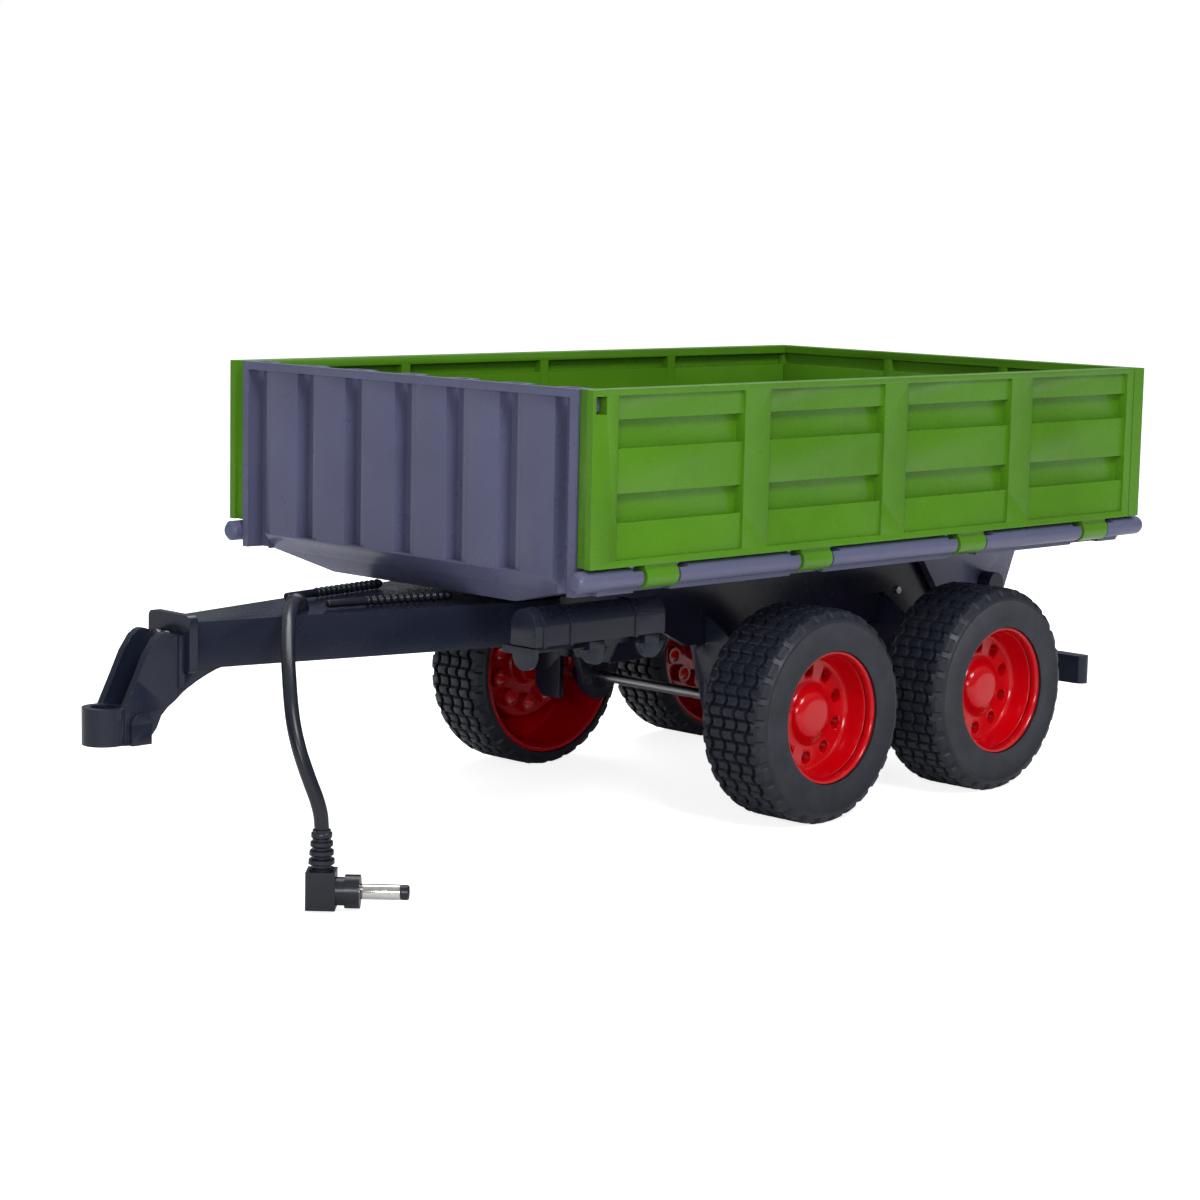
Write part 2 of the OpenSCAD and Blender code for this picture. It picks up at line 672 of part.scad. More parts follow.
// Tube that carries the clips of a panel: a thin bar shows where a clip sits
module hinge_rail(side) {
    nose = 0.9;
    color(grey) translate([0, side * rail_y, rail_z]) {
        difference() {
            union() {
                rod_x(rail_r, rail_rear + rail_r, rail_front - nose);
                translate([rail_rear + rail_r, 0, 0]) sphere(r = rail_r);
                translate([rail_front - nose, 0, 0]) rotate([0, 90, 0])
                    cylinder(r1 = rail_r, r2 = rail_r - nose, h = nose);
                block([panel_rear, side > 0 ? 62 - rail_y : 1.1, floor_low - rail_z],
                    [box_front - head_t, side > 0 ? -1.1 : rail_y - 62, floor_top - rail_z]);
            }
            for (x = hinge_x) {
                block([x - hinge_w / 2 - 0.9, -5, -5], [x + hinge_w / 2 + 0.9, 5, 5]);
                block([x - hinge_w / 2 - 4, -5, 1.6], [x + hinge_w / 2 + 4, 5, 5]);
            }
        }
        rod_x(bar_r, panel_rear, box_front - 4);
    }
}

module hinge_rail_left() { hinge_rail(1); }
module hinge_rail_right() { hinge_rail(-1); }

module rear_rail() {
    color(grey) translate([gate_axis_x, 0, rail_z]) {
        difference() {
            union() {
                rod_y(rail_r, -60.5, 60.5);
                block([0, -60.5, floor_low - rail_z], [panel_rear + 0.3 - gate_axis_x, 60.5, floor_top - rail_z]);
            }
            for (y = gate_hinge_y) block([-5, y - hinge_w / 2 - 0.9, -5], [5, y + hinge_w / 2 + 0.9, 5]);
        }
        rod_y(bar_r, -60, 60);
    }
}

// One clip's section around a rail bar, open on the inner lower side
module clip_2d() {
    difference() {
        union() {
            circle(r = clip_r);
            translate([-1.8, 0]) square([3.6, panel_low - rail_z + 0.2]);
        }
        circle(r = bar_r + fit);
        polygon([[0, 0], [-6, -1], [-6, -6], [-1.5, -6]]);
    }
}

// Recesses of one bay; the face lies in XZ at y = 0 and the panel's body in y < 0
module bay_cuts(x0, x1) {
    top = box_top - 1.4;
    low = panel_low + 1.7;
    bands = [[83.8, 90.6], [101.2, 108]];
    block([x0, -0.9, low], [x1, 1, top]);
    for (b = bands) block([x0 - 0.01, -3.1, b[0]], [x1 - 0.6, 1, b[1]]);
    for (z = [[low + 0.6, bands[0][0] - 1.4], [bands[0][1] + 1.4, bands[1][0] - 1.4],
            [bands[1][1] + 1.4, top - 0.8]])
        block([x0 - 3, -panel_t - 1, z[0]], [x1 + 3, -2.5, z[1]]);
    for (b = bands) block([x0 - 3, -panel_t - 1, b[0] - 1.5], [x1 + 3, -panel_t + 0.5, b[1] + 1.5]);
}

module side_panel() {
    pitch = (panel_l - 11.5) / side_bays + 2.3;
    bay_w = pitch - 9.1;
    difference() {
        union() {
            block([panel_rear, inner_y, panel_low], [box_front, box_w / 2, box_top]);
            translate([0, rail_y, rail_z]) for (x = hinge_x)
                translate([x - hinge_w / 2, 0, 0]) rotate([90, 0, 90]) linear_extrude(hinge_w) clip_2d();
        }
        for (k = [0:side_bays - 1]) translate([box_front - 8.4 - k * pitch, box_w / 2, 0])
            bay_cuts(-bay_w, 0);
        // Stepped front end
        block([box_front - 0.9, inner_y - 1, panel_low - 1], [box_front + 1, box_w / 2 - 2, box_top + 1]);
        // Latch window
        block([box_front - 4.5, inner_y - 1, 109.4], [box_front - 1.1, box_w / 2 + 1, 113.5]);
    }
}

module side_panel_left() { color(green) side_panel(); }
module side_panel_right() { color(green) mirror([0, 1, 0]) side_panel(); }

module tailgate() {
    half = box_w / 2;
    bays = 3;
    pitch = (2 * half - 12) / bays + 2.2;
    bay_w = pitch - 9;
    color(green) difference() {
        union() {
            block([gate_front - gate_t, -half, panel_low], [gate_front, half, box_top]);
            translate([gate_axis_x, 0, rail_z]) for (y = gate_hinge_y) translate([0, y + hinge_w / 2, 0])
                rotate([90, 0, 0]) linear_extrude(hinge_w) mirror([1, 0, 0]) clip_2d();
            for (y = gate_hinge_y) block([gate_axis_x - 1.8, y - hinge_w / 2, panel_low - 0.6],
                [gate_front - gate_t + 0.5, y + hinge_w / 2, panel_low + 2.1]);
        }
        translate([gate_front - gate_t, 0, 0]) rotate([0, 0, 90]) for (k = [0:bays - 1])
            translate([(k - (bays - 1) / 2) * pitch, 0, 0]) bay_cuts(-bay_w / 2, bay_w / 2);
    }
}

module tipping_lugs() {
    color(grey) for (s = [0, 1]) mirror([0, s, 0]) difference() {
        union() {
            plate_y(wall_y + 0.5, wall_y + 3) polygon([[-99.5, floor_low], [-149, floor_low],
                [-140.6, 47], [-114.5, 47]]);
            block([-149, wall_y + 0.5, floor_low - 1.6], [-99.5, 40, floor_low]);
        }
        translate([pivot_x, 0, pivot_z]) rod_y(pivot_r + fit, 20, 40);
        for (x = [-145, -104]) translate([x, 34, 60]) cylinder(r = 1.1, h = 10);
    }
}

module floor_screws() {
    color(steel) for (x = [-145, -104], y = [-34, 34]) screw_up(x, y, floor_low - 1.6, 3.4);
}

// ---- tipping drive ----
module pivot_shaft() {
    color(steel) translate([pivot_x, 0, pivot_z]) rod_y(pivot_r, -33, 33);
}

module pivot_caps() {
    color(black) for (s = [0, 1]) mirror([0, s, 0]) translate([pivot_x, 0, pivot_z]) difference() {
        rod_y(3.2, wall_y + 3.3, 34.6);
        rod_y(pivot_r + fit, wall_y, 33.1);
    }
}

module lift_sector() {
    color(grey) translate([pivot_x, 2, pivot_z]) rotate([90, 0, 0]) linear_extrude(4) difference() {
        union() {
            circle(r = 5);
            polygon(concat([[0, 0]], [for (i = [-9:1]) each tooth(drive_m, sector_teeth, i * 6)]));
            polygon([[-8, floor_low - pivot_z], [22, floor_low - pivot_z], [22, 3], [-4.6, -2]]);
        }
        circle(r = pivot_r + fit);
        polygon([[9, -5], [24, -1.5], [24, 1], [9, 2]]);
        polygon([[8, -8], [20.5, -7], [14, -16.5]]);
    }
}

module lay_gear() {
    color("ivory") translate([lay_x, 0, pivot_z]) rotate([90, 0, 0]) difference() {
        union() {
            translate([0, 0, -2.6]) linear_extrude(5.2) gear_2d(drive_m, pinion_teeth, 180 / pinion_teeth);
            translate([0, 0, -9.4]) linear_extrude(3.6) gear_2d(wheel_m, wheel_teeth);
            translate([0, 0, -6]) cylinder(r = 3.6, h = 3.6);
        }
        translate([0, 0, -20]) cylinder(r = 1 + fit, h = 40);
    }
}

module lay_shaft() {
    color(steel) translate([lay_x, 0, pivot_z]) rod_y(1, -wall_y - 0.6, wall_y + 0.6);
}

module lift_motor() {
    color(steel) translate([motor_x, 0, pivot_z]) difference() {
        union() {
            rod_y(6, -14, 3);
            rod_y(2, 2.9, 4.2);
        }
        rod_y(0.75 + fit, -15, 5);
    }
    color("ivory") translate([motor_x, 0, pivot_z]) difference() {
        rod_y(5.6, -16.4, -14);
        rod_y(0.75 + fit, -17, 5);
    }
}

module motor_shaft() {
    color(steel) translate([motor_x, 0, pivot_z]) rod_y(0.75, -15.5, 10.4);
}

module motor_pinion() {
    color("goldenrod") translate([motor_x, 0, pivot_z]) rotate([90, 0, 0]) difference() {
        translate([0, 0, -9.8]) linear_extrude(4.4) gear_2d(wheel_m, motor_teeth, 180 / motor_teeth);
        translate([0, 0, -20]) cylinder(r = 0.75 + fit, h = 40);
    }
}

module gearbox_tub() {
    x1 = -71;
    color(black) difference() {
        union() {
            block([-118.5, -24.4, tub_low], [-112, 24.4, tub_top]);
            block([-112.1, -21.9, tub_low], [-87.6, 21.9, tub_top]);
            block([-87.7, -24.4, tub_low], [x1, 24.4, tub_top]);
            block([x1 - 2, -18, tub_top - 0.1], [x1, 12.8, 58]);
            for (y = [-18, 11.4]) block([lay_x - 5, y, tub_top - 0.1], [x1, y + 1.4, 58]);
            block([motor_x - 2.9, -13.6, tub_top - 0.1], [motor_x + 5, 2.6, 45.95]);
        }
        // Way for the sector, the pinion and the large wheel
        block([-119.5, -4, 40], [lay_x + 9, 10.4, 45]);
        translate([lay_x, 0, pivot_z]) rod_y(1 + fit, -30, 30);
        translate([motor_x, 0, pivot_z]) rod_y(3, -20, -15);
        block([x1 - 3, -22, 49], [x1 + 1, -14, 55]);
        for (x = tub_bosses, y = [-boss_y, boss_y]) translate([x, y, 40]) cylinder(r = 1.1, h = 6);
    }
}

module gearbox_screws() {
    color(steel) for (x = tub_bosses, y = [-boss_y, boss_y]) screw_up(x, y, tub_low, 7);
}

chassis_frame();
drawbar();
drawbar_cover();
hitch_neck();
frame_screws();
hose_left();
hose_right();
cord_grommet();
power_cord();
strain_relief();
plug_body();
plug_barrel();
plug_insulator();
inner_lead();
air_tank();
tank_bracket();
circuit_cover();
circuit_board();
front_hangers();
rear_hangers();
front_bushes();
rear_bushes();
rear_bumper();
bumper_bracket();
bumper_screws();
front_axle();
rear_axle();
rim_front_left();
rim_front_right();
rim_rear_left();
rim_rear_right();
tyre_front_left();
tyre_front_right();
tyre_rear_left();
tyre_rear_right();
bed_floor();
headboard();
hinge_rail_left();
hinge_rail_right();
rear_rail();
tipping_lugs();
floor_screws();
side_panel_left();
side_panel_right();
tailgate();
pivot_shaft();
pivot_caps();
lift_sector();
lay_gear();
lay_shaft();
lift_motor();
motor_shaft();
motor_pinion();
gearbox_tub();
gearbox_screws();
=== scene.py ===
"""Looks of the toy tipping trailer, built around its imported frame.

Metres throughout: +X forwards to the hitch eye, +Y to the left, +Z up, tyres on Z = 0.
"""

import json
import math

import bmesh
import bpy
from mathutils import Matrix, Vector


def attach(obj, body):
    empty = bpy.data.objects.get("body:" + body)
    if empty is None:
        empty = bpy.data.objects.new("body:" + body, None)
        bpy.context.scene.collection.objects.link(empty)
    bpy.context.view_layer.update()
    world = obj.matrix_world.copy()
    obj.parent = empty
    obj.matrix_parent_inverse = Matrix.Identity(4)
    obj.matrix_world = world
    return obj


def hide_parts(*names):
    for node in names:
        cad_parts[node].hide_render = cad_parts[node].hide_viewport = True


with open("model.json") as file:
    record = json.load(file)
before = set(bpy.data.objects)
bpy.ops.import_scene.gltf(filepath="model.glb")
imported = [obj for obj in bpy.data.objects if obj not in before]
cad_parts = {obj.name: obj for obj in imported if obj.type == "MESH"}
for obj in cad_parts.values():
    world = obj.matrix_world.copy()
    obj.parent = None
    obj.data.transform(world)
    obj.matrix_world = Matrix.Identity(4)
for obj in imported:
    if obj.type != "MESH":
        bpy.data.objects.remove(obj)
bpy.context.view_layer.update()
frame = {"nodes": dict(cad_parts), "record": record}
scene = bpy.context.scene
MM = 0.001
TAU = 2 * math.pi


# ---------------------------------------------------------------- camera
CAMERA_AT = (0.5315, 0.5446, 0.1570)
CAMERA_TURN = (45.341, 7.704, 1.181)  # yaw, pitch and roll in degrees
SENSOR_MM = 36
LENS_MM = 87.44


def make_camera():
    yaw, pitch, roll = (math.radians(a) for a in CAMERA_TURN)
    look = Vector(
        (-math.cos(yaw) * math.cos(pitch), -math.sin(yaw) * math.cos(pitch), -math.sin(pitch))
    )
    right = look.cross(Vector((0, 0, 1))).normalized()
    up = right.cross(look)
    cam_right = math.cos(roll) * right + math.sin(roll) * up
    cam_up = -math.sin(roll) * right + math.cos(roll) * up
    data = bpy.data.cameras.new("Camera")
    data.sensor_width = SENSOR_MM
    data.lens = LENS_MM
    data.clip_start = 0.01
    data.clip_end = 20
    cam = bpy.data.objects.new("Camera", data)
    scene.collection.objects.link(cam)
    m = Matrix((cam_right, cam_up, -look)).transposed().to_4x4()
    m.translation = Vector(CAMERA_AT)
    cam.matrix_world = m
    scene.camera = cam


make_camera()


# ---------------------------------------------------------------- materials
def new_material(name):
    mat = bpy.data.materials.new(name)
    mat.use_nodes = True
    nt = mat.node_tree
    return mat, nt, nt.nodes["Principled BSDF"]


def noise(nt, coord, scale, detail=4, rough=0.5):
    node = nt.nodes.new("ShaderNodeTexNoise")
    node.inputs["Scale"].default_value = scale
    node.inputs["Detail"].default_value = detail
    node.inputs["Roughness"].default_value = rough
    nt.links.new(coord.outputs["Object"], node.inputs["Vector"])
    return node.outputs["Fac"]


def ramp(nt, fac, low, high, lo_pos=0.3, hi_pos=0.7):
    """A colour ramp, or a number ramp where low and high are numbers."""
    node = nt.nodes.new("ShaderNodeValToRGB")
    grey = not hasattr(low, "__len__")
    for k, (pos, v) in enumerate(((lo_pos, low), (hi_pos, high))):
        e = node.color_ramp.elements[k]
        e.position = pos
        e.color = (v, v, v, 1) if grey else (*v, 1)
    nt.links.new(fac, node.inputs["Fac"])
    return node.outputs["Color"]


def bump(nt, fac, distance, strength=1.0, normal=None):
    node = nt.nodes.new("ShaderNodeBump")
    node.inputs["Distance"].default_value = distance
    node.inputs["Strength"].default_value = strength
    nt.links.new(fac, node.inputs["Height"])
    if normal is not None:
        nt.links.new(normal, node.inputs["Normal"])
    return node.outputs["Normal"]


def moulded(name, colour, rough, spread=0.08, shade=0.10, grain=0.012, edge=0.25, coat=0.0):
    """Injection-moulded plastic: faint flow variation, fine texture, slightly rounded arrises."""
    mat, nt, bsdf = new_material(name)
    coord = nt.nodes.new("ShaderNodeTexCoord")
    broad = noise(nt, coord, 35, 3)
    dark = [c * (1 - shade) for c in colour]
    light = [min(1, c * (1 + shade)) for c in colour]
    nt.links.new(ramp(nt, broad, dark, light), bsdf.inputs["Base Color"])
    fine = noise(nt, coord, 900, 3, 0.6)
    smudge = noise(nt, coord, 90, 5, 0.65)
    nt.links.new(ramp(nt, smudge, rough - spread, rough + spread), bsdf.inputs["Roughness"])
    arris = nt.nodes.new("ShaderNodeBevel")
    arris.samples = 4
    arris.inputs["Radius"].default_value = edge * MM
    nt.links.new(bump(nt, fine, grain * MM, 0.7, arris.outputs["Normal"]), bsdf.inputs["Normal"])
    bsdf.inputs["Specular IOR Level"].default_value = 0.35
    bsdf.inputs["Coat Weight"].default_value = coat
    bsdf.inputs["Coat Roughness"].default_value = 0.12
    return mat


def rubber(name, colour, rough, grain=0.05, scale=1400):
    mat, nt, bsdf = new_material(name)
    coord = nt.nodes.new("ShaderNodeTexCoord")
    dust = noise(nt, coord, 120, 6, 0.7)
    dark = [c * 0.75 for c in colour]
    light = [c * 1.35 for c in colour]
    nt.links.new(ramp(nt, dust, dark, light), bsdf.inputs["Base Color"])
    nt.links.new(ramp(nt, dust, rough + 0.06, rough - 0.06), bsdf.inputs["Roughness"])
    fine = noise(nt, coord, scale, 4, 0.7)
    nt.links.new(bump(nt, fine, grain * MM, 0.8), bsdf.inputs["Normal"])
    bsdf.inputs["Specular IOR Level"].default_value = 0.45
    return mat


def metal(name, colour, rough, stretch=(1, 1, 1), grain=0.01):
    mat, nt, bsdf = new_material(name)
    coord = nt.nodes.new("ShaderNodeTexCoord")
    mapping = nt.nodes.new("ShaderNodeMapping")
    mapping.inputs["Scale"].default_value = stretch
    nt.links.new(coord.outputs["Object"], mapping.inputs["Vector"])
    node = nt.nodes.new("ShaderNodeTexNoise")
    node.inputs["Scale"].default_value = 700
    node.inputs["Detail"].default_value = 5
    nt.links.new(mapping.outputs["Vector"], node.inputs["Vector"])
    fac = node.outputs["Fac"]
    nt.links.new(ramp(nt, fac, [c * 0.86 for c in colour], colour), bsdf.inputs["Base Color"])
    nt.links.new(ramp(nt, fac, rough * 0.75, rough * 1.3), bsdf.inputs["Roughness"])
    nt.links.new(bump(nt, fac, grain * MM, 0.5), bsdf.inputs["Normal"])
    bsdf.inputs["Metallic"].default_value = 1
    return mat


MATS = {
    "panel_green": moulded("panel_green", (0.080, 0.235, 0.007), 0.30),
    "box_grey": moulded("box_grey", (0.112, 0.117, 0.205), 0.32),
    "chassis_black": moulded("chassis_black", (0.012, 0.015, 0.030), 0.25, 0.05, grain=0.008),
    "rim_red": moulded("rim_red", (0.56, 0.0, 0.004), 0.16, 0.04, grain=0.004, coat=0.15),
    "gear_white": moulded("gear_white", (0.78, 0.75, 0.66), 0.42),
    "board_green": moulded("board_green", (0.02, 0.13, 0.05), 0.35),
    "hose_black": rubber("hose_black", (0.007, 0.009, 0.015), 0.30, 0.012),
    "cord_pvc": rubber("cord_pvc", (0.008, 0.010, 0.018), 0.30, 0.010),
    "lead_red": rubber("lead_red", (0.35, 0.02, 0.02), 0.4, 0.01),
    "tyre_rubber": rubber("tyre_rubber", (0.012, 0.015, 0.024), 0.46, 0.05),
    "steel": metal("steel", (0.56, 0.56, 0.58), 0.30, (1, 0.06, 1)),
    "nickel": metal("nickel", (0.78, 0.77, 0.74), 0.14),
    "brass": metal("brass", (0.78, 0.58, 0.26), 0.28),
}
SLOT_OF = {p["node"]: p["material_slot"] for p in frame["record"]["subparts"]}
BODY_OF = {n: b for b, ns in frame["record"]["behaviour"]["bodies"].items() for n in ns}
for node, obj in frame["nodes"].items():
    obj.data.materials.clear()
    obj.data.materials.append(MATS[SLOT_OF[node]])


# ---------------------------------------------------------------- mesh helpers
def add_piece(name, mesh, slot, body, *nodes):
    obj = bpy.data.objects.new(name, mesh)
    scene.collection.objects.link(obj)
    mesh.materials.clear()
    mesh.materials.append(MATS[slot])
    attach(obj, body)
    if nodes:
        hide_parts(*nodes)
    return obj


def shade_by_angle(mesh, degrees):
    for p in mesh.polygons:
        p.use_smooth = True
    mesh.set_sharp_from_angle(angle=math.radians(degrees))


def to_mesh(name, bm, angle=35):
    mesh = bpy.data.meshes.new(name)
    bm.to_mesh(mesh)
    bm.free()
    shade_by_angle(mesh, angle)
    return mesh


def rounded(node, width, segments=2, angle=30, smooth=35):
    """A copy of a CAD node with its sharp edges rounded, which stands for it."""
    bm = bmesh.new()
    bm.from_mesh(frame["nodes"][node].data)
    bmesh.ops.remove_doubles(bm, verts=bm.verts, dist=2e-6)
    bmesh.ops.join_triangles(
        bm, faces=bm.faces, angle_face_threshold=math.radians(0.4), angle_shape_threshold=math.pi
    )
    mesh = to_mesh(node + "_skin", bm, smooth)
    slot = SLOT_OF[node]
    obj = add_piece(node + "_skin", mesh, slot, BODY_OF[node], node)
    mod = obj.modifiers.new("round", "BEVEL")
    mod.width = width * MM
    mod.segments = segments
    mod.limit_method = "ANGLE"
    mod.angle_limit = math.radians(angle)
    mod.miter_outer = "MITER_ARC"
    mod.use_clamp_overlap = True
    mod.harden_normals = True
    return obj


def turned(bm, angle, r, z):
    """A vertex at radius r and height z, in mm, turned about the local Z axis."""
    return bm.verts.new((r * MM * math.cos(angle), r * MM * math.sin(angle), z * MM))


def lathe(profile, steps, closed=True):
    """Rings about the local Z axis from (radius, z) points in mm."""
    bm = bmesh.new()
    rings = []
    for k in range(steps):
        a = TAU * k / steps
        rings.append([turned(bm, a, r, z) for r, z in profile])
    n = len(profile)
    for k in range(steps):
        a, b = rings[k], rings[(k + 1) % steps]
        for i in range(n if closed else n - 1):
            j = (i + 1) % n
            bm.faces.new((a[i], b[i], b[j], a[j]))
    bmesh.ops.remove_doubles(bm, verts=bm.verts, dist=1e-6)
    bmesh.ops.dissolve_degenerate(bm, dist=1e-7, edges=bm.edges)
    bmesh.ops.recalc_face_normals(bm, faces=bm.faces)
    return bm


# ---------------------------------------------------------------- power lead
CORD_D = 3.3
TUBE_REF = Vector((0.83, -0.55, 0.1))  # a direction that the route never follows
CORD_ROUTE = [
    (98.8, 3.7, 61.7), (101.3, 6.3, 62), (103.8, 8.9, 62.2), (106.3, 11.6, 62.3),
    (108.8, 14.3, 62.2), (111.2, 17.1, 61.9), (113.6, 19.8, 61.4), (116, 22.5, 60.6),
    (118.2, 25.2, 59.5), (120.4, 27.8, 58.3), (122.5, 30.4, 56.7), (124.5, 33, 54.9),
    (126.3, 35.4, 52.9), (127.9, 37.7, 50.6), (129.4, 39.9, 48.1), (130.7, 42, 45.3),
    (131.6, 43.8, 42.3), (132.1, 45.5, 39.1), (132.1, 47, 35.7), (131.6, 48.2, 32.3),
    (130.7, 49.1, 28.8), (129.6, 49.8, 25.3), (128.7, 50.1, 21.8), (128.3, 50.1, 18.2),
]  # fmt: skip


def catmull(points, per_span):
    """Points on the smooth curve through the given points."""
    pts = [Vector(p) for p in points]
    ext = [2 * pts[0] - pts[1], *pts, 2 * pts[-1] - pts[-2]]
    out = []
    for i in range(1, len(ext) - 2):
        p0, p1, p2, p3 = ext[i - 1 : i + 3]
        for k in range(per_span):
            t = k / per_span
            square = (2 * p0 - 5 * p1 + 4 * p2 - p3) * t * t
            cube = (3 * p1 - p0 - 3 * p2 + p3) * t**3
            out.append(0.5 * (2 * p1 + (p2 - p0) * t + square + cube))
    return [*out, pts[-1]]


def tube(points, radius, sides, ref):
    """A capped tube along points, in mm; radius is a number or one for each point."""
    bm = bmesh.new()
    rings = []
    for i, p in enumerate(points):
        t = (points[min(i + 1, len(points) - 1)] - points[max(i - 1, 0)]).normalized()
        u = t.cross(ref).normalized()
        w = t.cross(u)
        r = radius[i] if hasattr(radius, "__len__") else radius
        turns = [TAU * k / sides for k in range(sides)]
        rings.append([bm.verts.new((p + r * (math.cos(a) * u + math.sin(a) * w)) * MM) for a in turns])
    for a, b in zip(rings, rings[1:]):
        for k in range(sides):
            j = (k + 1) % sides
            bm.faces.new((a[k], a[j], b[j], b[k]))
    bm.faces.new(rings[0][::-1])
    bm.faces.new(rings[-1])
    bmesh.ops.recalc_face_normals(bm, faces=bm.faces)
    return bm


cord_points = catmull(CORD_ROUTE, 6)
lead = add_piece(
    "power_lead",
    to_mesh("power_lead", tube(cord_points, CORD_D / 2, 24, TUBE_REF), 60),
    "cord_pvc", "chassis", "power_cord",
)  # fmt: skip

PLUG = Vector((128.3, 50.1, 0))
PLUG_TURN = math.radians(135)
PLUG_AXIS_Z = 4.4
RELIEF_LOW = 9.0
RELIEF_TOP = 18.2
COLLARS = 4
SQUARE_FROM = 2.3  # radius beyond which a collar is squared
SQUARE_BY = 0.10  # share of the radius taken off the middle of each flat
SQUARE_GROWTH = 0.04  # share added all round, so that the size stays about the same


def strain_relief():
    """Moulded relief: a core with four split collars, each narrower than the one below."""
    profile = [(0, RELIEF_LOW), (2.9, RELIEF_LOW), (3.0, 9.6), (2.2, 9.9), (2.2, 10.5)]
    for k in range(COLLARS):
        z = 10.6 + 2 * k
        r = 3.1 - 0.2 * k
        profile += [(r - 0.25, z), (r, z + 0.2), (r - 0.05, z + 1.0), (r - 0.35, z + 1.2)]
        profile += [(2.05, z + 1.25), (2.05, z + 1.75)]
    profile += [(2.0, RELIEF_TOP), (0, RELIEF_TOP)]
    bm = lathe(profile, 48, closed=False)
    for v in bm.verts:  # square the collars a little, as the mould does
        r = math.hypot(v.co.x, v.co.y)
        if r > SQUARE_FROM * MM:
            a = math.atan2(v.co.y, v.co.x) - PLUG_TURN
            k = 1 - SQUARE_BY * (0.5 + 0.5 * math.cos(4 * a)) + SQUARE_GROWTH
            v.co.x *= k
            v.co.y *= k
    bmesh.ops.translate(bm, vec=PLUG * MM, verts=bm.verts)
    mesh = to_mesh("plug_relief", bm, 40)
    return add_piece("plug_relief", mesh, "cord_pvc", "chassis", "strain_relief")


relief = strain_relief()


def along_barrel(name, profile, slot, node):
    """A turned piece along the plug's barrel, from (radius, distance from the plug's middle)."""
    bm = lathe(profile, 64)
    m = (
        Matrix.Translation((PLUG + Vector((0, 0, PLUG_AXIS_Z))) * MM)
        @ Matrix.Rotation(PLUG_TURN, 4, "Z")
        @ Matrix.Rotation(math.pi / 2, 4, "Y")
    )
    bmesh.ops.transform(bm, matrix=m, verts=bm.verts)
    return add_piece(name, to_mesh(name, bm, 30), slot, "chassis", node)


BARREL_PROFILE = [
    (1.0, 5.4), (1.75, 8.72), (1.75, 17.5), (1.62, 17.65), (0.7, 17.65), (0.7, 8.0), (0.65, 5.4),
]  # fmt: skip
TIP_PROFILE = [
    (1.6, 17.7), (1.72, 17.85), (1.72, 18.7), (1.75, 18.75), (1.75, 19.3), (1.4, 19.65),
    (0.7, 19.65), (0.7, 17.7),
]  # fmt: skip
plug_skin = rounded("plug_body", 0.45, 3)
barrel = along_barrel("plug_barrel_skin", BARREL_PROFILE, "nickel", "plug_barrel")
ring = along_barrel("plug_tip", TIP_PROFILE, "cord_pvc", "plug_insulator")
grommet = rounded("cord_grommet", 0.3)

# ---------------------------------------------------------------- rounded frame parts
for node, width in {
    "side_panel_left": 0.45, "side_panel_right": 0.45, "tailgate": 0.45, "headboard": 0.45,
    "drawbar": 0.5, "hitch_neck": 0.5, "rear_bumper": 0.6, "air_tank": 0.3,
    "tank_bracket": 0.3, "chassis_frame": 0.4, "circuit_cover": 0.5, "tipping_lugs": 0.4,
    "hinge_rail_left": 0.35, "hinge_rail_right": 0.35, "rear_rail": 0.35,
    "front_hangers": 0.35, "rear_hangers": 0.35, "bumper_bracket": 0.4, "bed_floor": 0.3,
    "pivot_caps": 0.4,
}.items():  # fmt: skip
    rounded(node, width)

# ---------------------------------------------------------------- wheels
TYRE_R = 28.0
TYRE_W = 21.6
WHEELS = {
    "front_left": (-29.3, 1), "front_right": (-29.3, -1),
    "rear_left": (-99.7, 1), "rear_right": (-99.7, -1),
}  # fmt: skip
WHEEL_Y = 52.2


def wheel_matrix(x, side):
    """Local +Z is the wheel's outer side."""
    turn = Matrix.Rotation(-math.pi / 2 * side, 4, "X")
    return Matrix.Translation(Vector((x, side * WHEEL_Y, TYRE_R)) * MM) @ turn


TREAD_PITCHES = 30
TREAD_STEPS = 12
TREAD_DEPTH = 1.3
GROOVES = (6.3, 2.1, -2.1, -6.3)  # places of the grooves, from the tyre's middle
SWING = 0.62  # how far a groove swings to either side
LUG_SHARE = 0.62  # share of a pitch that a shoulder lug takes
LUG_DEPTH = 0.9
SIPE_DEPTH = 0.6
SIPE_EVERY = 6  # steps from one sipe to the next
SIPE_AT = 3  # its step, where the grooves are half way through their swing
STEEPNESS = 1.6  # of the zigzag's slopes; above 1 its ends are cut flat
GROOVE_HALF = (0.85, 0.62, 0.42)  # half width at the top, at the edge's foot and at the floor
GROOVE_EDGE = 0.12  # depth of the sloped upper edge


def zigzag(phase):
    """-1 to 1, with flats at the ends, over one tread pitch."""
    tri = 4 * abs(phase % 1.0 - 0.5) - 1
    return max(-1.0, min(1.0, tri * STEEPNESS))


def groove(c, top):
    """Section across one groove at c, from the outer side to the inner."""
    wide, mid, narrow = GROOVE_HALF
    edge = top - GROOVE_EDGE
    floor = TYRE_R - TREAD_DEPTH
    outer = [(top, c + wide), (edge, c + mid), (floor, c + narrow)]
    inner = [(floor, c - narrow), (edge, c - mid), (top, c - wide)]
    return outer + inner


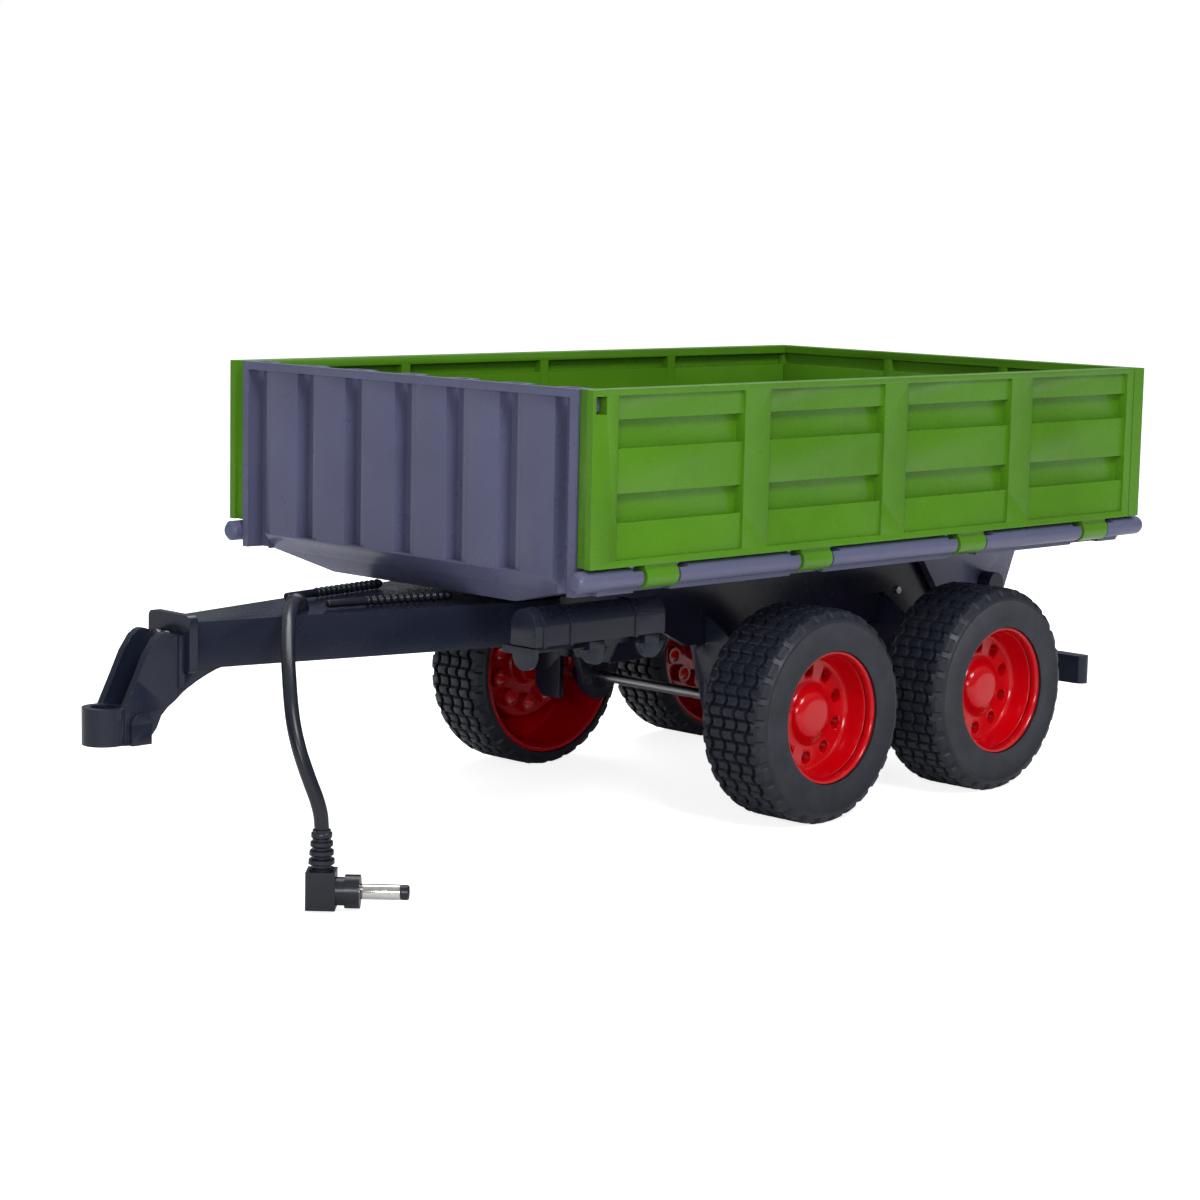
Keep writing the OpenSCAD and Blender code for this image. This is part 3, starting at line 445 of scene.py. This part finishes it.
def tyre_profile(k):
    """Section of the tyre at step k, as (radius, place along the axle) in mm."""
    half = TYRE_W / 2
    phase = k / TREAD_STEPS
    top = TYRE_R - (SIPE_DEPTH if k % SIPE_EVERY == SIPE_AT else 0)
    lug = phase % 1.0 < LUG_SHARE
    lug_in = (phase + 0.5) % 1.0 < LUG_SHARE
    cut = 0.0 if lug else LUG_DEPTH
    cut_in = 0.0 if lug_in else LUG_DEPTH
    outer_side = [
        (17.35, half - 2.0), (17.35, half), (18.6, half), (19.2, half), (24.2, half - 0.25),
        (24.7, half - 0.05), (25.4, half - 0.15), (25.9, half - 0.55),
        (26.6, half - 0.85 - cut), (27.3, half - 1.35 - cut), (27.75 if lug else 27.5, half - 2.3),
    ]  # fmt: skip
    tread = [p for g in GROOVES for p in groove(g + SWING * zigzag(phase), top)]
    inner_side = [
        (27.75 if lug_in else 27.5, 2.3 - half), (27.3, 1.35 - half + cut_in),
        (26.6, 0.85 - half + cut_in), (25.9, 0.55 - half), (25.7, 0.15 - half), (25.4, -half),
        (24.5, -half), (24.25, 0.25 - half), (24.25, half - 3.45), (15.95, half - 3.45),
        (15.95, half - 2.6),
    ]  # fmt: skip
    return outer_side + tread + inner_side


def tyre_mesh(name):
    """A tyre with zigzag grooves and shoulder lugs, hollow towards the wheel's inner side."""
    bm = bmesh.new()
    steps = TREAD_PITCHES * TREAD_STEPS
    rings = [[turned(bm, TAU * k / steps, r, v) for r, v in tyre_profile(k)] for k in range(steps)]
    n = len(rings[0])
    for a, b in zip(rings, rings[1:] + rings[:1]):
        for i in range(n):
            j = (i + 1) % n
            bm.faces.new((a[i], a[j], b[j], b[i]))
    bmesh.ops.recalc_face_normals(bm, faces=bm.faces)
    return to_mesh(name, bm, 28)


RIM_V0 = 10.2  # outer lip plane, from the tyre's middle
RIM_PROFILE = [
    (0, -5.1), (3.6, -5.1), (4.6, -5.2), (5.6, -5.5), (6.4, -6.2), (6.9, -7.1), (7.4, -7.8),
    (8.2, -8.15), (9, -8.2), (13.6, -8.2), (14.3, -8.0), (14.8, -7.4), (15.1, -6.4), (16.1, -0.9),
    (16.3, -0.3), (16.6, 0), (17.1, 0), (17.3, -0.2), (17.3, -1.0), (15.9, -1.6), (15.9, -2.9),
    (24.2, -2.9), (24.2, -20.2), (24.0, -20.4), (23.1, -20.4), (22.9, -20.2), (22.9, -5.0),
    (22.3, -4.4), (17.4, -4.4), (16.6, -5.0), (15.7, -9.4), (15.2, -9.8), (6.2, -9.8),
    (5.6, -10.2), (5.3, -13.2), (4.4, -13.6), (4.2, -19.0), (3.9, -19.4), (1.45, -19.4),
    (1.45, -6.6), (0, -6.6),
]  # fmt: skip
HOLES = 10
HOLE_RING = 11.6
HOLE_R = 1.7
BOSS_R = 2.6
BOSS_L = 2.5
BOSS_MIDDLE = -10.55  # depth from the outer lip
CUT_L = 7
CUT_MIDDLE = -9.5
RIM_EDGE = 0.22  # width of the rounded edges


def hole_rods(name, radius, length, middle):
    """One rod at each hand hole, with its middle at a depth from the outer lip."""
    bm = bmesh.new()
    for k in range(HOLES):
        a = TAU * (k + 0.5) / HOLES
        at = Vector((HOLE_RING * math.cos(a), HOLE_RING * math.sin(a), RIM_V0 + middle))
        bmesh.ops.create_cone(
            bm, segments=32, radius1=radius * MM, radius2=radius * MM, depth=length * MM,
            cap_ends=True, matrix=Matrix.Translation(at * MM),
        )  # fmt: skip
    obj = bpy.data.objects.new(name, to_mesh(name, bm))
    scene.collection.objects.link(obj)
    return obj


def rim_mesh(name):
    bm = lathe(RIM_PROFILE, 120, closed=False)
    bmesh.ops.translate(bm, vec=(0, 0, RIM_V0 * MM), verts=bm.verts)
    base = to_mesh(name, bm, 32)
    bosses = hole_rods("bosses", BOSS_R, BOSS_L, BOSS_MIDDLE)
    cutter = hole_rods("cutter", HOLE_R, CUT_L, CUT_MIDDLE)
    rim = bpy.data.objects.new("rim_work", base)
    scene.collection.objects.link(rim)
    for tool, operation in ((bosses, "UNION"), (cutter, "DIFFERENCE")):
        mod = rim.modifiers.new(tool.name, "BOOLEAN")
        mod.object = tool
        mod.operation = operation
        mod.solver = "EXACT"
    bev = rim.modifiers.new("round", "BEVEL")
    bev.width = RIM_EDGE * MM
    bev.segments = 2
    bev.limit_method = "ANGLE"
    bev.angle_limit = math.radians(50)
    bpy.context.view_layer.update()
    done = bpy.data.meshes.new_from_object(rim.evaluated_get(bpy.context.evaluated_depsgraph_get()))
    shade_by_angle(done, 32)
    for obj in (rim, bosses, cutter):
        bpy.data.objects.remove(obj)
    return done


tyre_master = tyre_mesh("tyre_master")
rim_master = rim_mesh("rim_master")
for key, (x, side) in WHEELS.items():
    body = "front_wheels" if key.startswith("front") else "rear_wheels"
    for master, part, slot in (
        (tyre_master, "tyre_", "tyre_rubber"),
        (rim_master, "rim_", "rim_red"),
    ):
        mesh = master.copy()
        mesh.transform(wheel_matrix(x, side))
        add_piece(part + key + "_skin", mesh, slot, body, part + key)


# ---------------------------------------------------------------- hoses
HOSE_R = 1.0
HOSE_Z = 61.2
HOSE_REF = Vector((0.1, 0.2, 1))  # a direction that neither hose follows
COIL_FROM, COIL_TO = 0.31, 0.97  # shares of a hose's length
COIL_R = 1.08
COIL_WAVE = 0.17
COIL_PITCH = 1.9
END_ROUND = 0.5  # length of each rounded end
END_R = 0.72  # share of the radius that is left at the very end
HOSE_STEP = 0.12


def hose_radius(s, length):
    """Radius at distance s: a smooth front part, a coiled sleeve and rounded ends."""
    r = HOSE_R
    if COIL_FROM <= s / length <= COIL_TO:
        r = COIL_R + COIL_WAVE * math.cos(TAU * s / COIL_PITCH)
    edge = min(s, length - s)
    if edge < END_ROUND:
        r *= END_R + (1 - END_R) * math.sqrt(max(0.0, 1 - (1 - edge / END_ROUND) ** 2))
    return r


def hose(name, node, start, end):
    a, b = Vector((*start, HOSE_Z)), Vector((*end, HOSE_Z))
    length = (b - a).length
    axis = (b - a).normalized()
    steps = int(length / HOSE_STEP)
    along = [length * i / steps for i in range(steps + 1)]
    radii = [hose_radius(s, length) for s in along]
    bm = tube([a + axis * s for s in along], radii, 32, HOSE_REF)
    add_piece(name, to_mesh(name, bm, 50), "hose_black", "chassis", node)


hose("hose_left_skin", "hose_left", (92.2, 7), (57.2, 12.4))
hose("hose_right_skin", "hose_right", (92.2, -8.6), (57.2, -14.6))


# ---------------------------------------------------------------- studio
LIGHTS = (  # name, place, size in metres, power in watts
    ("key", (0.30, 0.90, 0.90), 0.35, 7),
    ("front", (0.95, 0.75, 0.36), 0.22, 3),
    ("top", (-0.38, -0.30, 0.95), 0.9, 8),
)
LIGHT_TARGET = Vector((0, 0, 0.06))
FLOOR_HALF = 6.0


def seen_or(nt, seen, other):
    """One colour where the camera looks straight at it, another in light and reflections."""
    path = nt.nodes.new("ShaderNodeLightPath")
    mix = nt.nodes.new("ShaderNodeMix")
    mix.data_type = "RGBA"
    nt.links.new(path.outputs["Is Camera Ray"], mix.inputs[0])
    if hasattr(other, "__len__"):
        mix.inputs[6].default_value = other
    else:
        nt.links.new(other, mix.inputs[6])
    mix.inputs[7].default_value = seen
    return mix.outputs[2]


def studio():
    world = bpy.data.worlds.new("World")
    scene.world = world
    world.use_nodes = True
    nt = world.node_tree
    coord = nt.nodes.new("ShaderNodeTexCoord")
    split = nt.nodes.new("ShaderNodeSeparateXYZ")
    nt.links.new(coord.outputs["Generated"], split.inputs["Vector"])
    sky = ramp(nt, split.outputs["Z"], (0.15, 0.16, 0.18), (0.5, 0.5, 0.5), 0.1, 0.9)
    nt.links.new(seen_or(nt, (1, 1, 1, 1), sky), nt.nodes["Background"].inputs["Color"])
    nt.nodes["Background"].inputs["Strength"].default_value = 1
    scene.view_settings.view_transform = "Standard"
    make_floor()
    for name, loc, size, power in LIGHTS:
        data = bpy.data.lights.new(name, "AREA")
        data.shape = "SQUARE"
        data.size = size
        data.energy = power
        light = bpy.data.objects.new(name, data)
        scene.collection.objects.link(light)
        light.location = loc
        light.rotation_mode = "QUATERNION"
        light.rotation_quaternion = (LIGHT_TARGET - Vector(loc)).to_track_quat("-Z", "Y")


def make_floor():
    mesh = bpy.data.meshes.new("floor")
    s = FLOOR_HALF
    mesh.from_pydata([(-s, -s, 0), (s, -s, 0), (s, s, 0), (-s, s, 0)], [], [(0, 1, 2, 3)])
    floor = bpy.data.objects.new("floor", mesh)
    scene.collection.objects.link(floor)
    mat, nt, bsdf = new_material("floor")
    coord = nt.nodes.new("ShaderNodeTexCoord")
    fac = noise(nt, coord, 3, 2)
    nt.links.new(ramp(nt, fac, (0.78, 0.78, 0.78), (0.82, 0.82, 0.82)), bsdf.inputs["Base Color"])
    bsdf.inputs["Roughness"].default_value = 0.9
    bsdf.inputs["Specular IOR Level"].default_value = 0.1
    glow = seen_or(nt, (0.84, 0.84, 0.84, 1), (0, 0, 0, 1))
    nt.links.new(glow, bsdf.inputs["Emission Color"])
    bsdf.inputs["Emission Strength"].default_value = 1
    mesh.materials.append(mat)


studio()
